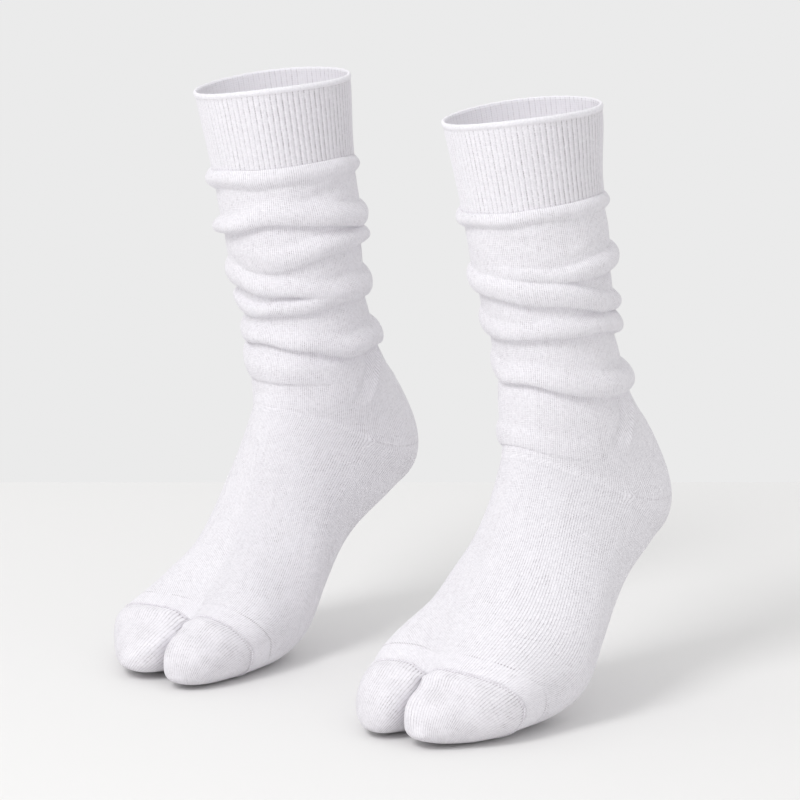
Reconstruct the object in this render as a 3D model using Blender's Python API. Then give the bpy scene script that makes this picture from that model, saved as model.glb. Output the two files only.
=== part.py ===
"""A pair of split-toe (tabi) socks, knitted, filled out as if worn on tiptoe and slouched at the leg.

Every piece is a wall of cloth round an open hollow. Each sock is one skin worked out from sections:
rings round the leg and the foot, each laid through a front, a side and a back point in the sock's
middle plane. The skin is cut into the maker's pieces, which lie SEAM_GAP apart, and each piece gets
its wall inwards.

Table lengths are millimetres. y runs back from the toe tips, z up from the floor, and x across, with
+ towards the small toes. Round a ring, column 0 is the front of the leg and the top of the foot.
"""

import math

import bpy
import numpy as np

MM = 0.001

# Driving dimensions
WALL = 1.6
SEAM_GAP = 0.3
TOE_GAP = 0.9             # between the facing sides of the two toe lobes
COLUMNS = 24              # points round a ring
HALF = COLUMNS // 2       # the column at the back of the leg and under the sole

# full_front and full_back are 2 for an ellipse and more for a squarer half; groove parts the toes and
# skew is how much further back the small toes' side lies
SECTION_COLUMNS = (
    "name front_y front_z side_y side_z back_y back_z mid_x half_in half_out full_front full_back groove skew"
).split()
# Rings from the rim down to the ankle
LEG_SECTIONS = (
    ("rim",        89.0, 354.0, 137.0, 358.0, 185.0, 362.0,  0.0, 48.0, 48.0, 2.0, 2.0, 0.0,  0.0),
    ("cuff_end",  100.0, 305.0, 145.0, 310.0, 190.0, 315.0,  0.0, 45.0, 45.0, 2.0, 2.0, 0.0,  0.0),
    ("leg_upper", 109.0, 254.0, 152.0, 260.0, 195.0, 266.0,  0.0, 43.0, 43.0, 2.0, 2.0, 0.0,  0.0),
    ("leg_lower", 119.0, 211.0, 158.0, 217.0, 197.0, 223.0,  0.0, 39.0, 39.0, 2.0, 2.0, 0.0,  0.0),
    ("shin_end",  118.0, 175.0, 164.0, 181.0, 208.0, 192.0,  0.0, 37.5, 37.0, 2.0, 2.0, 0.0,  0.0),
    ("ankle",     115.0, 155.0, 181.0, 124.0, 232.0, 161.0,  0.0, 36.0, 35.0, 2.0, 2.0, 0.0,  0.0),
)
# Rings from the ankle, whose front half the first one shares, to the root of the toes
FOOT_SECTIONS = (
    ("heel_end",  115.0, 155.0, 181.0, 124.0, 227.0,  87.0,  0.0, 36.0, 35.0, 2.0, 2.2, 0.0,  0.0),
    ("instep_1",  107.0, 136.0, 166.0, 103.0, 202.0,  76.0,  0.0, 35.5, 38.0, 2.0, 2.3, 0.0,  0.0),
    ("instep_2",   94.0, 115.0, 141.0,  82.0, 174.0,  58.0, -1.0, 35.5, 48.0, 2.0, 2.4, 0.0,  0.0),
    ("instep_3",   79.0,  94.0, 118.0,  60.0, 144.0,  33.0, -2.0, 40.5, 57.0, 2.1, 2.4, 0.0,  0.0),
    ("instep_4",   64.0,  73.0,  96.0,  39.0, 117.0,   6.0, -3.0, 43.5, 62.0, 2.2, 2.4, 0.0,  2.0),
    ("ball",       51.0,  57.0,  76.0,  29.0,  84.0,  -2.0, -4.0, 46.5, 61.0, 2.4, 2.5, 0.5,  7.0),
    ("band_back",  42.0,  47.0,  59.0,  25.0,  60.0,  -2.0, -5.0, 45.0, 60.0, 2.6, 2.7, 2.0, 10.0),
    ("band_front", 33.0,  40.0,  44.0,  20.0,  44.0,  -2.0, -5.0, 43.0, 58.0, 2.7, 2.8, 5.0,  9.0),
)
FIRST_LEG_RING = 1        # where the cuff ends and the leg begins
BAND_RING = 6             # where the foot ends and the toe band begins
SHORT_FROM = 3            # the foot has no ring between its sections from here on
GROOVE_WIDTH = 7.0

# The heel pocket's mitre line, where it bulges furthest back
MITRE_BACK_Y = 250.0
MITRE_BACK_Z = 111.0
MITRE_FULL = 2.1
HEEL_TIP = math.radians(1.5)      # the pocket starts this far past the side line, with a short edge

# The toe lobes: drop is how much lower the tip end is, slant how far the outer side lies back
CROTCH_X = -5.0
LOBE_COLUMNS = "name sign width length height tip_height blunt drop slant tuck".split()
LOBES = (
    ("big_toe",    -1.0, 42.0, 40.0, 37.0, 14.0, 2.6, 0.12, 0.10, 0.0),
    ("small_toes",  1.0, 57.0, 40.0, 36.0, 13.0, 2.6, 0.14, 0.22, 6.0),
)
LOBE_FULL = 2.4
LOBE_ROWS = (0.0, 0.16, 0.38, 0.62, 0.82, 0.95)   # share of the way to the tip
PARTITION_POINTS = 3

# Slouch folds, from the top of the leg down. d is how far the crest lies below the cuff's seam and b
# how far it stands out, at each angle from the toes' direction towards +X.
FOLD_ANGLES = (-45.0, 0.0, 45.0, 90.0, 135.0, 225.0)
FOLD_COLUMNS = "name d_m45 d_0 d_45 d_90 d_135 d_225 b_m45 b_0 b_45 b_90 b_135 b_225".split()
FOLDS = {
    "right": (
        ("under_cuff",   8,   4,   3,   5,   7,   6,   3.2, 2.8, 2.2, 2.2, 2.6, 2.8),
        ("second",      41,  32,  27,  36,  43,  44,   3.6, 3.4, 3.6, 4.6, 5.0, 3.6),
        ("third",       50,  54,  53,  52,  58,  58,   0.8, 2.2, 3.2, 4.0, 4.2, 2.6),
        ("fourth",      69,  74,  79,  83,  85,  78,   4.0, 4.0, 4.0, 4.4, 5.0, 4.0),
        ("fourth_low",  85,  89,  87,  91,  95,  90,   4.2, 3.8, 3.4, 1.0, 0.4, 3.0),
        ("fifth",      107, 106, 112, 120, 124, 112,   4.2, 3.8, 3.8, 4.0, 4.6, 4.2),
        ("sixth",      125, 125, 129, 136, 140, 130,   3.0, 2.6, 1.2, 0.4, 0.8, 2.4),
    ),
    "left": (
        ("under_cuff",  10,   6,   5,   7,  10,   9,   3.2, 2.4, 2.0, 2.4, 3.0, 2.6),
        ("second",      34,  35,  41,  42,  45,  40,   0.4, 1.2, 2.6, 4.0, 5.0, 2.4),
        ("third",       46,  48,  51,  59,  66,  58,   3.8, 3.6, 3.6, 4.2, 4.6, 4.0),
        ("fourth",      74,  77,  76,  79,  86,  80,   4.2, 4.0, 3.8, 4.2, 4.8, 4.2),
        ("fifth",      100, 103, 108, 117, 125, 112,   3.8, 3.6, 4.0, 4.6, 5.0, 4.4),
        ("instep",     156, 152, 160, 168, 174, 168,   2.4, 2.2, 1.6, 0.4, 0.0, 0.0),
    ),
}
FOLD_RISE, FOLD_FALL = 6.0, 3.2           # reach of a fold above and below its crest
FOLD_ROWS = (-5.0, 0.0, 4.0)              # rings laid along each fold, from its crest
PLAIN_ROWS = (20.0, 156.0, 168.0, 180.0)
LEAST_ROW_STEP = 2.4

SIDES = {"right": -1.0, "left": 1.0}      # the side of the foot that the small toes are on, along X
# Where each sock stands, in millimetres and degrees, and how its leg is filled
PLACE_COLUMNS = "name across back turn aside_lean girth".split()
PLACES = (
    ("right", -100.5, -6.6, 3.0, 3.0, 1.00),
    ("left",   107.5,  0.0, 2.5, 4.0, 0.96),
)
# How each foot is filled out, at stations back from the toes: inner and outer widen the big and the
# small toes' half, high raises the top and fore brings it forward
FILL_COLUMNS = "y inner outer high fore".split()
FILL = {
    "right": (
        (-2.0, 4.0, 5.0, 2.0, 2.5), (22.0, -2.5, 4.0, 1.5, 1.5), (50.0, -3.0, 13.0, -4.0, -3.5),
        (85.0, -6.0, -2.5, -7.0, -1.5), (125.0, -2.5, -5.0, 3.5, 4.5), (165.0, -3.0, -2.0, 4.0, 6.5),
        (205.0, -1.0, -0.5, 0.5, 2.5), (245.0, 0.0, 0.0, 1.5, -1.0), (290.0, 0.0, 0.0, 0.0, 0.0),
    ),
    "left": (
        (-2.0, 0.5, 0.0, -1.0, 1.5), (22.0, 4.0, -5.0, 1.5, 3.5), (50.0, 10.5, -0.5, 4.0, 1.0),
        (85.0, 8.0, 0.0, -1.5, -1.0), (125.0, 0.5, 1.0, 0.0, 2.0), (165.0, -1.0, -0.5, 0.5, 2.0),
        (205.0, -1.0, 1.5, -1.5, -1.0), (245.0, 0.0, 0.5, 0.0, -1.5), (290.0, 0.0, 0.0, 0.0, 0.0),
    ),
}
FILL_TOP_Z, FILL_FADE = 110.0, 55.0
LEAN_FROM_Z = 68.0        # the legs lean to -X above this
RIM_ROLL = 4.5            # degrees that the rim dips to -X; a ring at the ankle doesn't
ANKLE_Z, RIM_Z = 124.0, 358.0
HEEL_TURN_Y = 205.0       # a sock is turned about its heel
HELD_SIDE = "left"        # the part's origin is the middle of this sock's cuff opening

KNIT_COLOUR = (0.86, 0.845, 0.88, 1.0)
ROUGHNESS = 0.9


def read_rows(columns, rows):
    """Turn a table into one array for each named column of numbers."""
    return {name: np.array([row[i] for row in rows]) for i, name in enumerate(columns) if name != "name"}


LEG = read_rows(SECTION_COLUMNS, LEG_SECTIONS)
FOOT = read_rows(SECTION_COLUMNS, FOOT_SECTIONS)


def knots(table):
    """Distance down the side line to each section."""
    step = np.hypot(np.diff(table["side_y"]), np.diff(table["side_z"]))
    return np.concatenate(([0.0], np.cumsum(step)))


def smooth(at_knots, values, at):
    """A cubic through the values, with each slope taken from the neighbours."""
    slope = np.gradient(values, at_knots)
    at = np.clip(at, at_knots[0], at_knots[-1])
    i = np.clip(np.searchsorted(at_knots, at, side="right") - 1, 0, len(at_knots) - 2)
    width = at_knots[i + 1] - at_knots[i]
    t = (at - at_knots[i]) / width
    bend_a, bend_b = slope[i] * width, slope[i + 1] * width
    return (
        (2 * t**3 - 3 * t**2 + 1) * values[i] + (t**3 - 2 * t**2 + t) * bend_a
        + (3 * t**2 - 2 * t**3) * values[i + 1] + (t**3 - t**2) * bend_b
    )


def smooth_round(angles, values, at):
    """The same cubic round a full turn, for values given at angles in degrees."""
    angles = np.array(angles)
    wide = np.concatenate((angles - 360, angles, angles + 360))
    at = (np.asarray(at) - angles[0]) % 360 + angles[0]
    return smooth(wide, np.tile(values, 3), at)


def signed_power(value, power):
    return np.sign(value) * np.abs(value) ** power


def skin(table, along, angle):
    """Points of the skin at a distance down the side line and an angle round the ring.

    A ring is a rounded oval through its front, side and back points: the across value follows a power
    of the angle's sine, and the way from the side to the front or back point a power of its cosine.
    A groove is pressed into its front and back along the line where the toes part.
    """
    along, angle = np.broadcast_arrays(along, angle)
    v = {name: smooth(knots(table), values, along) for name, values in table.items()}
    c, s = np.cos(angle), np.sin(angle)
    is_front = c >= 0
    full = np.where(is_front, v["full_front"], v["full_back"])
    reach = np.abs(c) ** (2 / full)
    end_y = np.where(is_front, v["front_y"], v["back_y"])
    end_z = np.where(is_front, v["front_z"], v["back_z"])
    spread = signed_power(s, 2 / full) * np.where(s > 0, v["half_out"], v["half_in"])
    x = v["mid_x"] + spread
    y = v["side_y"] + (end_y - v["side_y"]) * reach + v["skew"] * np.clip(spread / v["half_out"], 0, 1) ** 2
    z = v["side_z"] + (end_z - v["side_z"]) * reach
    groove = v["groove"] * np.exp(-((spread / GROOVE_WIDTH) ** 2))
    z = z - np.where(is_front, groove, -0.6 * groove)
    return np.stack([x, y, z], axis=-1)


def column_angles(columns, pinch):
    """Angles of the columns; pinch draws them together over the top and under the sole."""
    turn = np.asarray(columns) * 2 * np.pi / COLUMNS
    return turn - pinch * np.sin(2 * turn)


def fold_heights(fold, turn_degrees):
    """How far below the cuff's seam a fold's crest lies, and how far it stands out."""
    count = len(FOLD_ANGLES)
    depth = smooth_round(FOLD_ANGLES, fold[1:1 + count], turn_degrees)
    bulge = smooth_round(FOLD_ANGLES, fold[1 + count:], turn_degrees)
    return depth, np.maximum(bulge, 0.0)


def stretch(table, along, angle):
    """Millimetres of skin for each millimetre down the side line."""
    ahead, behind = skin(table, along + 1.0, angle), skin(table, along - 1.0, angle)
    return np.maximum(np.linalg.norm(ahead - behind, axis=-1) / 2.0, 0.35)


def slouch(side, below_cuff, turn_degrees, scale):
    """How far the folds carry the cloth outwards: each is a bump, gentle above and steep below."""
    total = np.zeros(np.broadcast(below_cuff, turn_degrees).shape)
    for fold in FOLDS[side]:
        depth, bulge = fold_heights(fold, turn_degrees)
        away = (below_cuff - depth) * scale
        reach = np.where(away < 0, FOLD_RISE, FOLD_FALL)
        total = total + bulge * np.exp(-((away / reach) ** 2))
    return total


def leg_grid(side):
    """The leg as rings that follow the folds, from under the cuff to the ankle."""
    place = places()[side]
    angle = column_angles(np.arange(COLUMNS), 0.0)
    turn_degrees = np.degrees(angle) * SIDES[side]
    start = knots(LEG)[FIRST_LEG_RING]
    end = knots(LEG)[-1] - start
    rows = [np.full(COLUMNS, float(row)) for row in PLAIN_ROWS]
    for fold in FOLDS[side]:
        depth = fold_heights(fold, turn_degrees)[0]
        scale = stretch(LEG, depth + start, angle)
        rows += [depth + offset / scale for offset in FOLD_ROWS]
    grid_rows = [np.zeros(COLUMNS)]
    for row in sorted(rows, key=lambda row: row.mean()):
        row = np.maximum(row, grid_rows[-1] + LEAST_ROW_STEP)
        if row.max() < end - LEAST_ROW_STEP:
            grid_rows.append(row)
    grid_rows.append(np.full(COLUMNS, end))
    below = np.array(grid_rows)
    along = below + start
    points = skin(LEG, along, angle[None, :])
    bulge = slouch(side, below, turn_degrees[None, :], stretch(LEG, along, angle[None, :]))
    filled = points + outward_in_ring(LEG, along, points) * (bulge * ease_out(below, end))[..., None]
    return girth(LEG, along, filled, place["girth"])


def ease_out(below, end):
    """1 on the leg, falling to 0 over its last 20 mm, so that the ankle ring stays in its place."""
    return np.clip((end - below) / 20.0, 0, 1)


def ring_middle(table, along):
    v = {name: smooth(knots(table), table[name], along) for name in ("front_y", "front_z", "back_y", "back_z", "mid_x")}
    return np.stack([v["mid_x"], (v["front_y"] + v["back_y"]) / 2, (v["front_z"] + v["back_z"]) / 2], axis=-1)


def outward_in_ring(table, along, points):
    away = points - ring_middle(table, along)
    return away / np.linalg.norm(away, axis=-1, keepdims=True)


def girth(table, along, points, share):
    """Draw the leg in to a share of its girth, and not at all at the ankle."""
    k = knots(table)
    full = 1 - np.clip((along - k[-3]) / (k[-1] - k[-3]), 0, 1)
    share = 1 + (share - 1) * full
    middle = ring_middle(table, along)
    return middle + (points - middle) * share[..., None]


def cuff_grid(side):
    angle = column_angles(np.arange(COLUMNS), 0.0)
    along = np.linspace(0, knots(LEG)[FIRST_LEG_RING], 4)[:, None] + 0 * angle[None, :]
    return girth(LEG, along, skin(LEG, along, angle[None, :]), places()[side]["girth"])


def heel_grid():
    """The heel pocket: for each angle round the back, a parabola from the ankle ring through the mitre."""
    angle = np.linspace(np.pi / 2 + HEEL_TIP, 3 * np.pi / 2 - HEEL_TIP, HALF + 1)
    share = np.linspace(0, 1, 5)[:, None, None]
    upper = skin(LEG, knots(LEG)[-1], angle)
    lower = skin(FOOT, 0.0, angle)
    reach = np.abs(np.cos(angle)) ** (2 / MITRE_FULL)
    middle = (upper + lower) / 2
    middle[:, 1] = LEG["side_y"][-1] + (MITRE_BACK_Y - LEG["side_y"][-1]) * reach
    middle[:, 2] = LEG["side_z"][-1] + (MITRE_BACK_Z - LEG["side_z"][-1]) * reach
    return (
        upper * (1 - share) * (1 - 2 * share)
        + middle * 4 * share * (1 - share)
        + lower * share * (2 * share - 1)
    )


def foot_rings(first, last):
    """Rings of the foot from one section to another, with another ring between the long ones."""
    k = knots(FOOT)
    along = [k[first]]
    for i in range(first, last):
        if i < SHORT_FROM:
            along.append((k[i] + k[i + 1]) / 2)
        along.append(k[i + 1])
    along = np.array(along)[:, None]
    pinch = 0.3 * np.clip(along / k[BAND_RING], 0, 1)
    points = skin(FOOT, along, column_angles(np.arange(COLUMNS)[None, :], pinch))
    points[..., 2] = np.maximum(points[..., 2], 0.0)
    return points


def lobe_grid(lobe):
    """A toe lobe from its root to its last ring, and its tip point.

    The root ring follows the toe band's edge round the outside and a straight partition beside the
    other lobe. Towards the tip it turns into a rounded oval, and a dome law draws it in.
    """
    size = dict(zip(LOBE_COLUMNS, lobe))
    sign = size["sign"]
    band_edge = foot_rings(BAND_RING + 1, BAND_RING + 1)[0]
    picks = np.arange(HALF + 1) if sign > 0 else -np.arange(HALF + 1) % COLUMNS
    arc = band_edge[picks].copy()
    edge_x = CROTCH_X + sign * TOE_GAP / 2
    arc[[0, -1], 0] = edge_x
    share = np.linspace(0, 1, PARTITION_POINTS + 2)[1:-1, None]
    partition = arc[-1] + (arc[0] - arc[-1]) * share
    root = np.concatenate((arc, partition))
    corner = math.radians(35)
    arc_turn = np.linspace(-corner, math.pi + corner, HALF + 1)
    gap_turn = np.linspace(math.pi + corner, 2 * math.pi - corner, PARTITION_POINTS + 2)[1:-1]
    turn = np.concatenate((arc_turn, gap_turn))
    half = size["width"] / 2
    root_middle = np.array([edge_x + sign * half, root[:, 1].mean(), size["height"] / 2])
    rows = []
    for share in LOBE_ROWS + (1.0,):
        dome = (1 - share ** size["blunt"]) ** (1 / 2.2)
        lower = 1 - size["drop"] * share
        across = signed_power(np.sin(turn), 2 / LOBE_FULL) * half
        up = signed_power(np.cos(turn), 2 / LOBE_FULL) * size["height"] / 2 * lower
        oval = np.stack([sign * across, size["slant"] * (across + half) * share, up], axis=-1)
        shape = root - root_middle
        blend = min(share / 0.45, 1.0)
        blend = blend * blend * (3 - 2 * blend)
        ring = (shape * (1 - blend) + oval * blend) * dome
        middle = root_middle + np.array([
            -sign * size["tuck"] * (1 - dome),
            -share * (root_middle[1] + 0.0) + 0.0,
            (size["height"] / 2 * lower - size["tip_height"]) * dome + size["tip_height"] - size["height"] / 2,
        ])
        row = middle + ring
        row[:, 2] = np.maximum(row[:, 2], 0.0)
        rows.append(row)
    return np.array(rows[:-1]), rows[-1].mean(axis=0)


def places():
    return {row[0]: dict(zip(PLACE_COLUMNS, row)) for row in PLACES}


def fill(points, side):
    """Shape the foot as this sock is filled out, by its own table. It fades out above FILL_TOP_Z."""
    v = dict(zip(FILL_COLUMNS, np.array(FILL[side]).T))
    x, y, z = points[..., 0], points[..., 1], points[..., 2]
    up = np.clip((z - FILL_TOP_Z) / FILL_FADE, 0, 1)
    low = 1 - up * up * (3 - 2 * up)
    inner, outer, high, fore = (smooth(v["y"], v[name], y) * low for name in FILL_COLUMNS[1:])
    off = (x - CROTCH_X) / 45.0
    return np.stack([x + np.where(off < 0, inner, outer) * off, y - fore, z * (1 + high / 60.0)], axis=-1)


def stand(points, side):
    """Move a sock's points to where it stands: mirror it, lean the leg aside, turn it on its heel."""
    place = places()[side]
    points = fill(points, side)
    above = np.clip((points[..., 2] - ANKLE_Z) / (RIM_Z - ANKLE_Z), 0, 1)
    x, y, z = points[..., 0] * SIDES[side], points[..., 1], points[..., 2]
    up = np.clip(z - LEAN_FROM_Z, 0, None)
    z = z + x * np.tan(above * math.radians(RIM_ROLL))
    x = x - up * math.tan(math.radians(place["aside_lean"]))
    a = math.radians(place["turn"])
    across = x * math.cos(a) - (y - HEEL_TURN_Y) * math.sin(a)
    back = x * math.sin(a) + (y - HEEL_TURN_Y) * math.cos(a) + HEEL_TURN_Y
    return np.stack([across + place["across"], back + place["back"], z], axis=-1)


def sock_skin(side):
    """The sock's whole skin as shared points, and each piece's faces on them, wound outwards.

    The pieces share points where they meet, so that their walls are parallel across a seam.
    """
    points, faces = [], {}

    def add(new):
        first = len(points)
        points.extend(np.reshape(new, (-1, 3)))
        return np.arange(first, len(points)).reshape(np.shape(new)[:-1])

    def quads(grid):
        """Faces between rows that run down the sock or towards the toes."""
        return [
            tuple(dict.fromkeys((int(grid[i, j]), int(grid[i + 1, j]), int(grid[i + 1, j + 1]), int(grid[i, j + 1]))))
            for i in range(grid.shape[0] - 1)
            for j in range(grid.shape[1] - 1)
        ]

    def ringed(grid):
        return np.concatenate((grid, grid[:, :1]), axis=1)

    leg = add(leg_grid(side))
    cuff = np.concatenate((add(cuff_grid(side)[:-1]), leg[:1]))
    foot_points = foot_rings(0, BAND_RING)
    back = np.arange(HALF // 2 + 1, COLUMNS - HALF // 2)
    shared = np.setdiff1d(np.arange(COLUMNS), back)
    foot_rows = add(foot_points[1:])
    foot_first = leg[-1].copy()
    foot_first[back] = add(foot_points[0, back])
    foot = np.concatenate((foot_first[None], foot_rows))
    heel_columns = np.arange(HALF // 2, COLUMNS - HALF // 2 + 1)
    heel_inside = add(heel_grid()[1:-1, 1:-1])
    heel = np.empty((heel_inside.shape[0] + 2, len(heel_columns)), int)
    heel[0], heel[-1] = leg[-1, heel_columns], foot_first[heel_columns]
    heel[1:-1, 1:-1] = heel_inside
    heel[1:-1, 0], heel[1:-1, -1] = heel[0, 0], heel[0, -1]
    band_front = add(foot_rings(BAND_RING + 1, BAND_RING + 1))
    band = np.concatenate((foot[-1:], band_front))
    faces["cuff"] = quads(ringed(cuff))
    faces["leg"] = quads(ringed(leg))
    faces["heel"] = quads(heel)
    faces["foot"] = quads(ringed(foot))
    faces["toe_band"] = quads(ringed(band))
    for lobe in LOBES:
        name, sign = lobe[0], lobe[1]
        rows, tip = lobe_grid(lobe)
        grid = add(rows)
        picks = np.arange(HALF + 1) if sign > 0 else -np.arange(HALF + 1) % COLUMNS
        grid[0, 1:HALF] = band_front[0, picks[1:-1]]
        ring = ringed(grid)
        tip = int(add(tip[None])[0])
        found = quads(ring) + [(int(a), tip, int(b)) for a, b in zip(ring[-1, :-1], ring[-1, 1:])]
        faces[name] = found if sign > 0 else [face[::-1] for face in found]
    points = stand(np.array(points), side)
    if SIDES[side] < 0:
        faces = {name: [face[::-1] for face in found] for name, found in faces.items()}
    return points, faces


def face_normal(points, face):
    corners = points[list(face)]
    return sum(np.cross(corners[i] - corners[0], corners[i + 1] - corners[0]) for i in range(1, len(face) - 1)) / 2


def skin_normals(points, faces):
    """The direction out of the cloth at every point of the skin."""
    normals = np.zeros_like(points)
    for face in faces:
        normals[list(face)] += face_normal(points, face)
    return normals / np.maximum(np.linalg.norm(normals, axis=1, keepdims=True), 1e-9)


def piece_outline(faces):
    """The edges that only one face of the piece has, in that face's direction."""
    edges = [(face[i], face[(i + 1) % len(face)]) for face in faces for i in range(len(face))]
    known = set(edges)
    return [edge for edge in edges if edge[::-1] not in known]


def walled(points, normals, faces):
    """A closed wall: the piece's faces, drawn in from the seams, and again WALL further in."""
    inset = {}
    outline = piece_outline(faces)
    for a, b in outline:
        for point in (a, b):
            across = np.cross(normals[point], points[b] - points[a])
            inset.setdefault(point, []).append(across / np.linalg.norm(across))
    outer = {int(i): points[i].copy() for face in faces for i in face}
    for point, ways in inset.items():
        both = ways[0] + ways[1]
        outer[point] += both * (SEAM_GAP / 2) / max(1 + ways[0] @ ways[1], 0.25)
    order = {point: index for index, point in enumerate(sorted(outer))}
    near = np.array([outer[point] for point in order])
    near[:, 2] = np.maximum(near[:, 2], 0.0)
    far = near - np.array([normals[point] for point in order]) * WALL
    count = len(order)
    sheet = [tuple(order[i] for i in face) for face in faces]
    lining = [tuple(order[i] + count for i in reversed(face)) for face in faces]
    edge = [(order[b], order[a], order[a] + count, order[b] + count) for a, b in outline]
    return np.concatenate((near, far)), sheet + lining + edge


def held_point():
    """The middle of the held sock's cuff opening."""
    return stand(cuff_grid(HELD_SIDE)[:1], HELD_SIDE)[0].mean(axis=0)


def knit_material(name):
    material = bpy.data.materials.new(name)
    material.use_nodes = True
    surface = material.node_tree.nodes["Principled BSDF"]
    surface.inputs["Base Color"].default_value = KNIT_COLOUR
    surface.inputs["Roughness"].default_value = ROUGHNESS
    surface.inputs["Metallic"].default_value = 0.0
    return material


def add_piece(name, points, faces):
    mesh = bpy.data.meshes.new(name)
    mesh.from_pydata([tuple(p * MM) for p in points], [], faces)
    mesh.materials.append(knit_material(name))
    mesh.update()
    bpy.context.scene.collection.objects.link(bpy.data.objects.new(name, mesh))


def main():
    for thing in list(bpy.data.objects):
        bpy.data.objects.remove(thing, do_unlink=True)
    origin = held_point()
    for side in SIDES:
        points, pieces = sock_skin(side)
        normals = skin_normals(points, [face for faces in pieces.values() for face in faces])
        for name, faces in pieces.items():
            wall, wall_faces = walled(points, normals, faces)
            add_piece(side + "_" + name, wall - origin, wall_faces)


main()
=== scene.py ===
"""A pair of split-toe (tabi) socks in white cotton knit: the looks of every surface.

Lengths in the tables are millimetres. y runs back from the toe tips, z up from the floor and x across,
with + towards the small toes. Round a ring, angle 0 is the front of the leg and the top of the foot.
"""

import math
from functools import partialmethod

import bpy
import numpy as np
from bpy.props import FloatProperty, FloatVectorProperty, IntProperty
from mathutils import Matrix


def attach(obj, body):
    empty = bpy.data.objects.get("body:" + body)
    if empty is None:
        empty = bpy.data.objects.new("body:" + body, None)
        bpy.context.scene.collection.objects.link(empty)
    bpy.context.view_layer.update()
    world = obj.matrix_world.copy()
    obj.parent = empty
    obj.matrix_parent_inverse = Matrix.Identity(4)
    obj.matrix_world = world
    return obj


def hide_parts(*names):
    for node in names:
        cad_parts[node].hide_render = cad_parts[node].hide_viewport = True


bl_info = {
    "name": "Tabi Sock Knitter",
    "version": (1, 0, 0),
    "blender": (4, 5, 0),
    "location": "View3D > Sidebar > Socks",
    "description": "Knits a pair of slouched split-toe socks round the part's frame",
    "category": "Add Mesh",
}

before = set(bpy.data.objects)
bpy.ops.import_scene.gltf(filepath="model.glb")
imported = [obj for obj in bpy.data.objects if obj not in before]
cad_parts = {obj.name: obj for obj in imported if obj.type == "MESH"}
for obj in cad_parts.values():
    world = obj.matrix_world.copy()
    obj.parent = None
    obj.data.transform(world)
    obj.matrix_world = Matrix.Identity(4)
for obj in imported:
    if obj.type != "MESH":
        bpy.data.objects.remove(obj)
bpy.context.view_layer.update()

MM = 0.001
TURN = 2 * math.pi

# The camera: degrees round from the toes' direction towards +X, degrees it looks down, metres away
VIEW_TURN, VIEW_DROP, VIEW_DISTANCE = 43.0, 11.85, 2.667
VIEW_TARGET, LENS, SENSOR = (52.2, 70.0, 187.8), 200.0, 36.0
# In metres from what the camera looks at: the floor's edges and how far it lies below the soles, and the
# key light's size and its place to the left, towards the camera and up
FLOOR_FAR, FLOOR_NEAR, FLOOR_WIDE, FLOOR_GAP = 0.6, -4.0, 4.0, 0.0003
KEY_SIZE, KEY_PLACE = 1.2, (1.45, 1.6, 2.2)
# Fuzz to the metre, the height of a stitch in metres, and a step that keeps one line's noise off the next
FUZZ_SCALE, STITCH_HEIGHT, LINE_STEP = 1500.0, 0.0006, 0.731
# Heights and widths of stitches in millimetres, and a toe's girth for each millimetre of its width
RIB_COURSE, TOE_WALE, CHAIN_RADIUS, LOBE_GIRTH = 1.4, 1.65, 0.68, 2.2

SECTION_COLUMNS = (
    "name front_y front_z side_y side_z back_y back_z mid_x half_in half_out full_front full_back groove skew"
).split()
LEG_SECTIONS = (
    ("rim", 89, 354, 137, 358, 185, 362, 0, 48, 48, 2, 2, 0, 0),
    ("cuff_end", 100, 305, 145, 310, 190, 315, 0, 45, 45, 2, 2, 0, 0),
    ("leg_upper", 109, 254, 152, 260, 195, 266, 0, 43, 43, 2, 2, 0, 0),
    ("leg_lower", 119, 211, 158, 217, 197, 223, 0, 39, 39, 2, 2, 0, 0),
    ("shin_end", 118, 175, 164, 181, 208, 192, 0, 37.5, 37, 2, 2, 0, 0),
    ("ankle", 115, 155, 181, 124, 232, 161, 0, 36, 35, 2, 2, 0, 0),
)
FOOT_SECTIONS = (
    ("heel_end", 115, 155, 181, 124, 227, 87, 0, 36, 35, 2, 2.2, 0, 0),
    ("instep_1", 107, 136, 166, 103, 202, 76, 0, 35.5, 38, 2, 2.3, 0, 0),
    ("instep_2", 94, 115, 141, 82, 174, 58, -1, 35.5, 48, 2, 2.4, 0, 0),
    ("instep_3", 79, 94, 118, 60, 144, 33, -2, 40.5, 57, 2.1, 2.4, 0, 0),
    ("instep_4", 64, 73, 96, 39, 117, 6, -3, 43.5, 62, 2.2, 2.4, 0, 2),
    ("ball", 51, 57, 76, 29, 84, -2, -4, 46.5, 61, 2.4, 2.5, 0.5, 7),
    ("band_back", 42, 47, 59, 25, 60, -2, -5, 45, 60, 2.6, 2.7, 2, 10),
    ("band_front", 33, 40, 44, 20, 44, -2, -5, 43, 58, 2.7, 2.8, 5, 9),
)
GROOVE_WIDTH = 7.0
MITRE_BACK_Y, MITRE_BACK_Z, MITRE_FULL = 250.0, 111.0, 2.1

CROTCH_X, TOE_GAP = -5.0, 0.9
LOBE_COLUMNS = (
    "name sign width height tip_height blunt drop slant hug inner_top inner_sole outer_top outer_sole"
).split()
# The last four are the ring's fullness by quarter: beside the other lobe and away from it, above and below
LOBES = (
    ("big_toe", -1, 42, 37, 8, 2.8, 0.12, 0.12, 0.20, 3.4, 2.5, 2.3, 2.3),
    ("small_toes", 1, 57, 36, 9, 2.7, 0.14, 0.28, 0.26, 5, 2.5, 2.3, 2.1),
)
# The line that a lobe's wales fan out from: its height at the root, and how far it falls for each
# millimetre ahead
WALE_AXIS_Z, WALE_AXIS_FALL = 8.0, 0.42

# Rows of points on each face of the cuff and over its welt, and the degrees that the welt's curve spans
CUFF_ROWS, WELT_ROWS, WELT_FROM, WELT_TO = 30, 18, -50, 205
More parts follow.
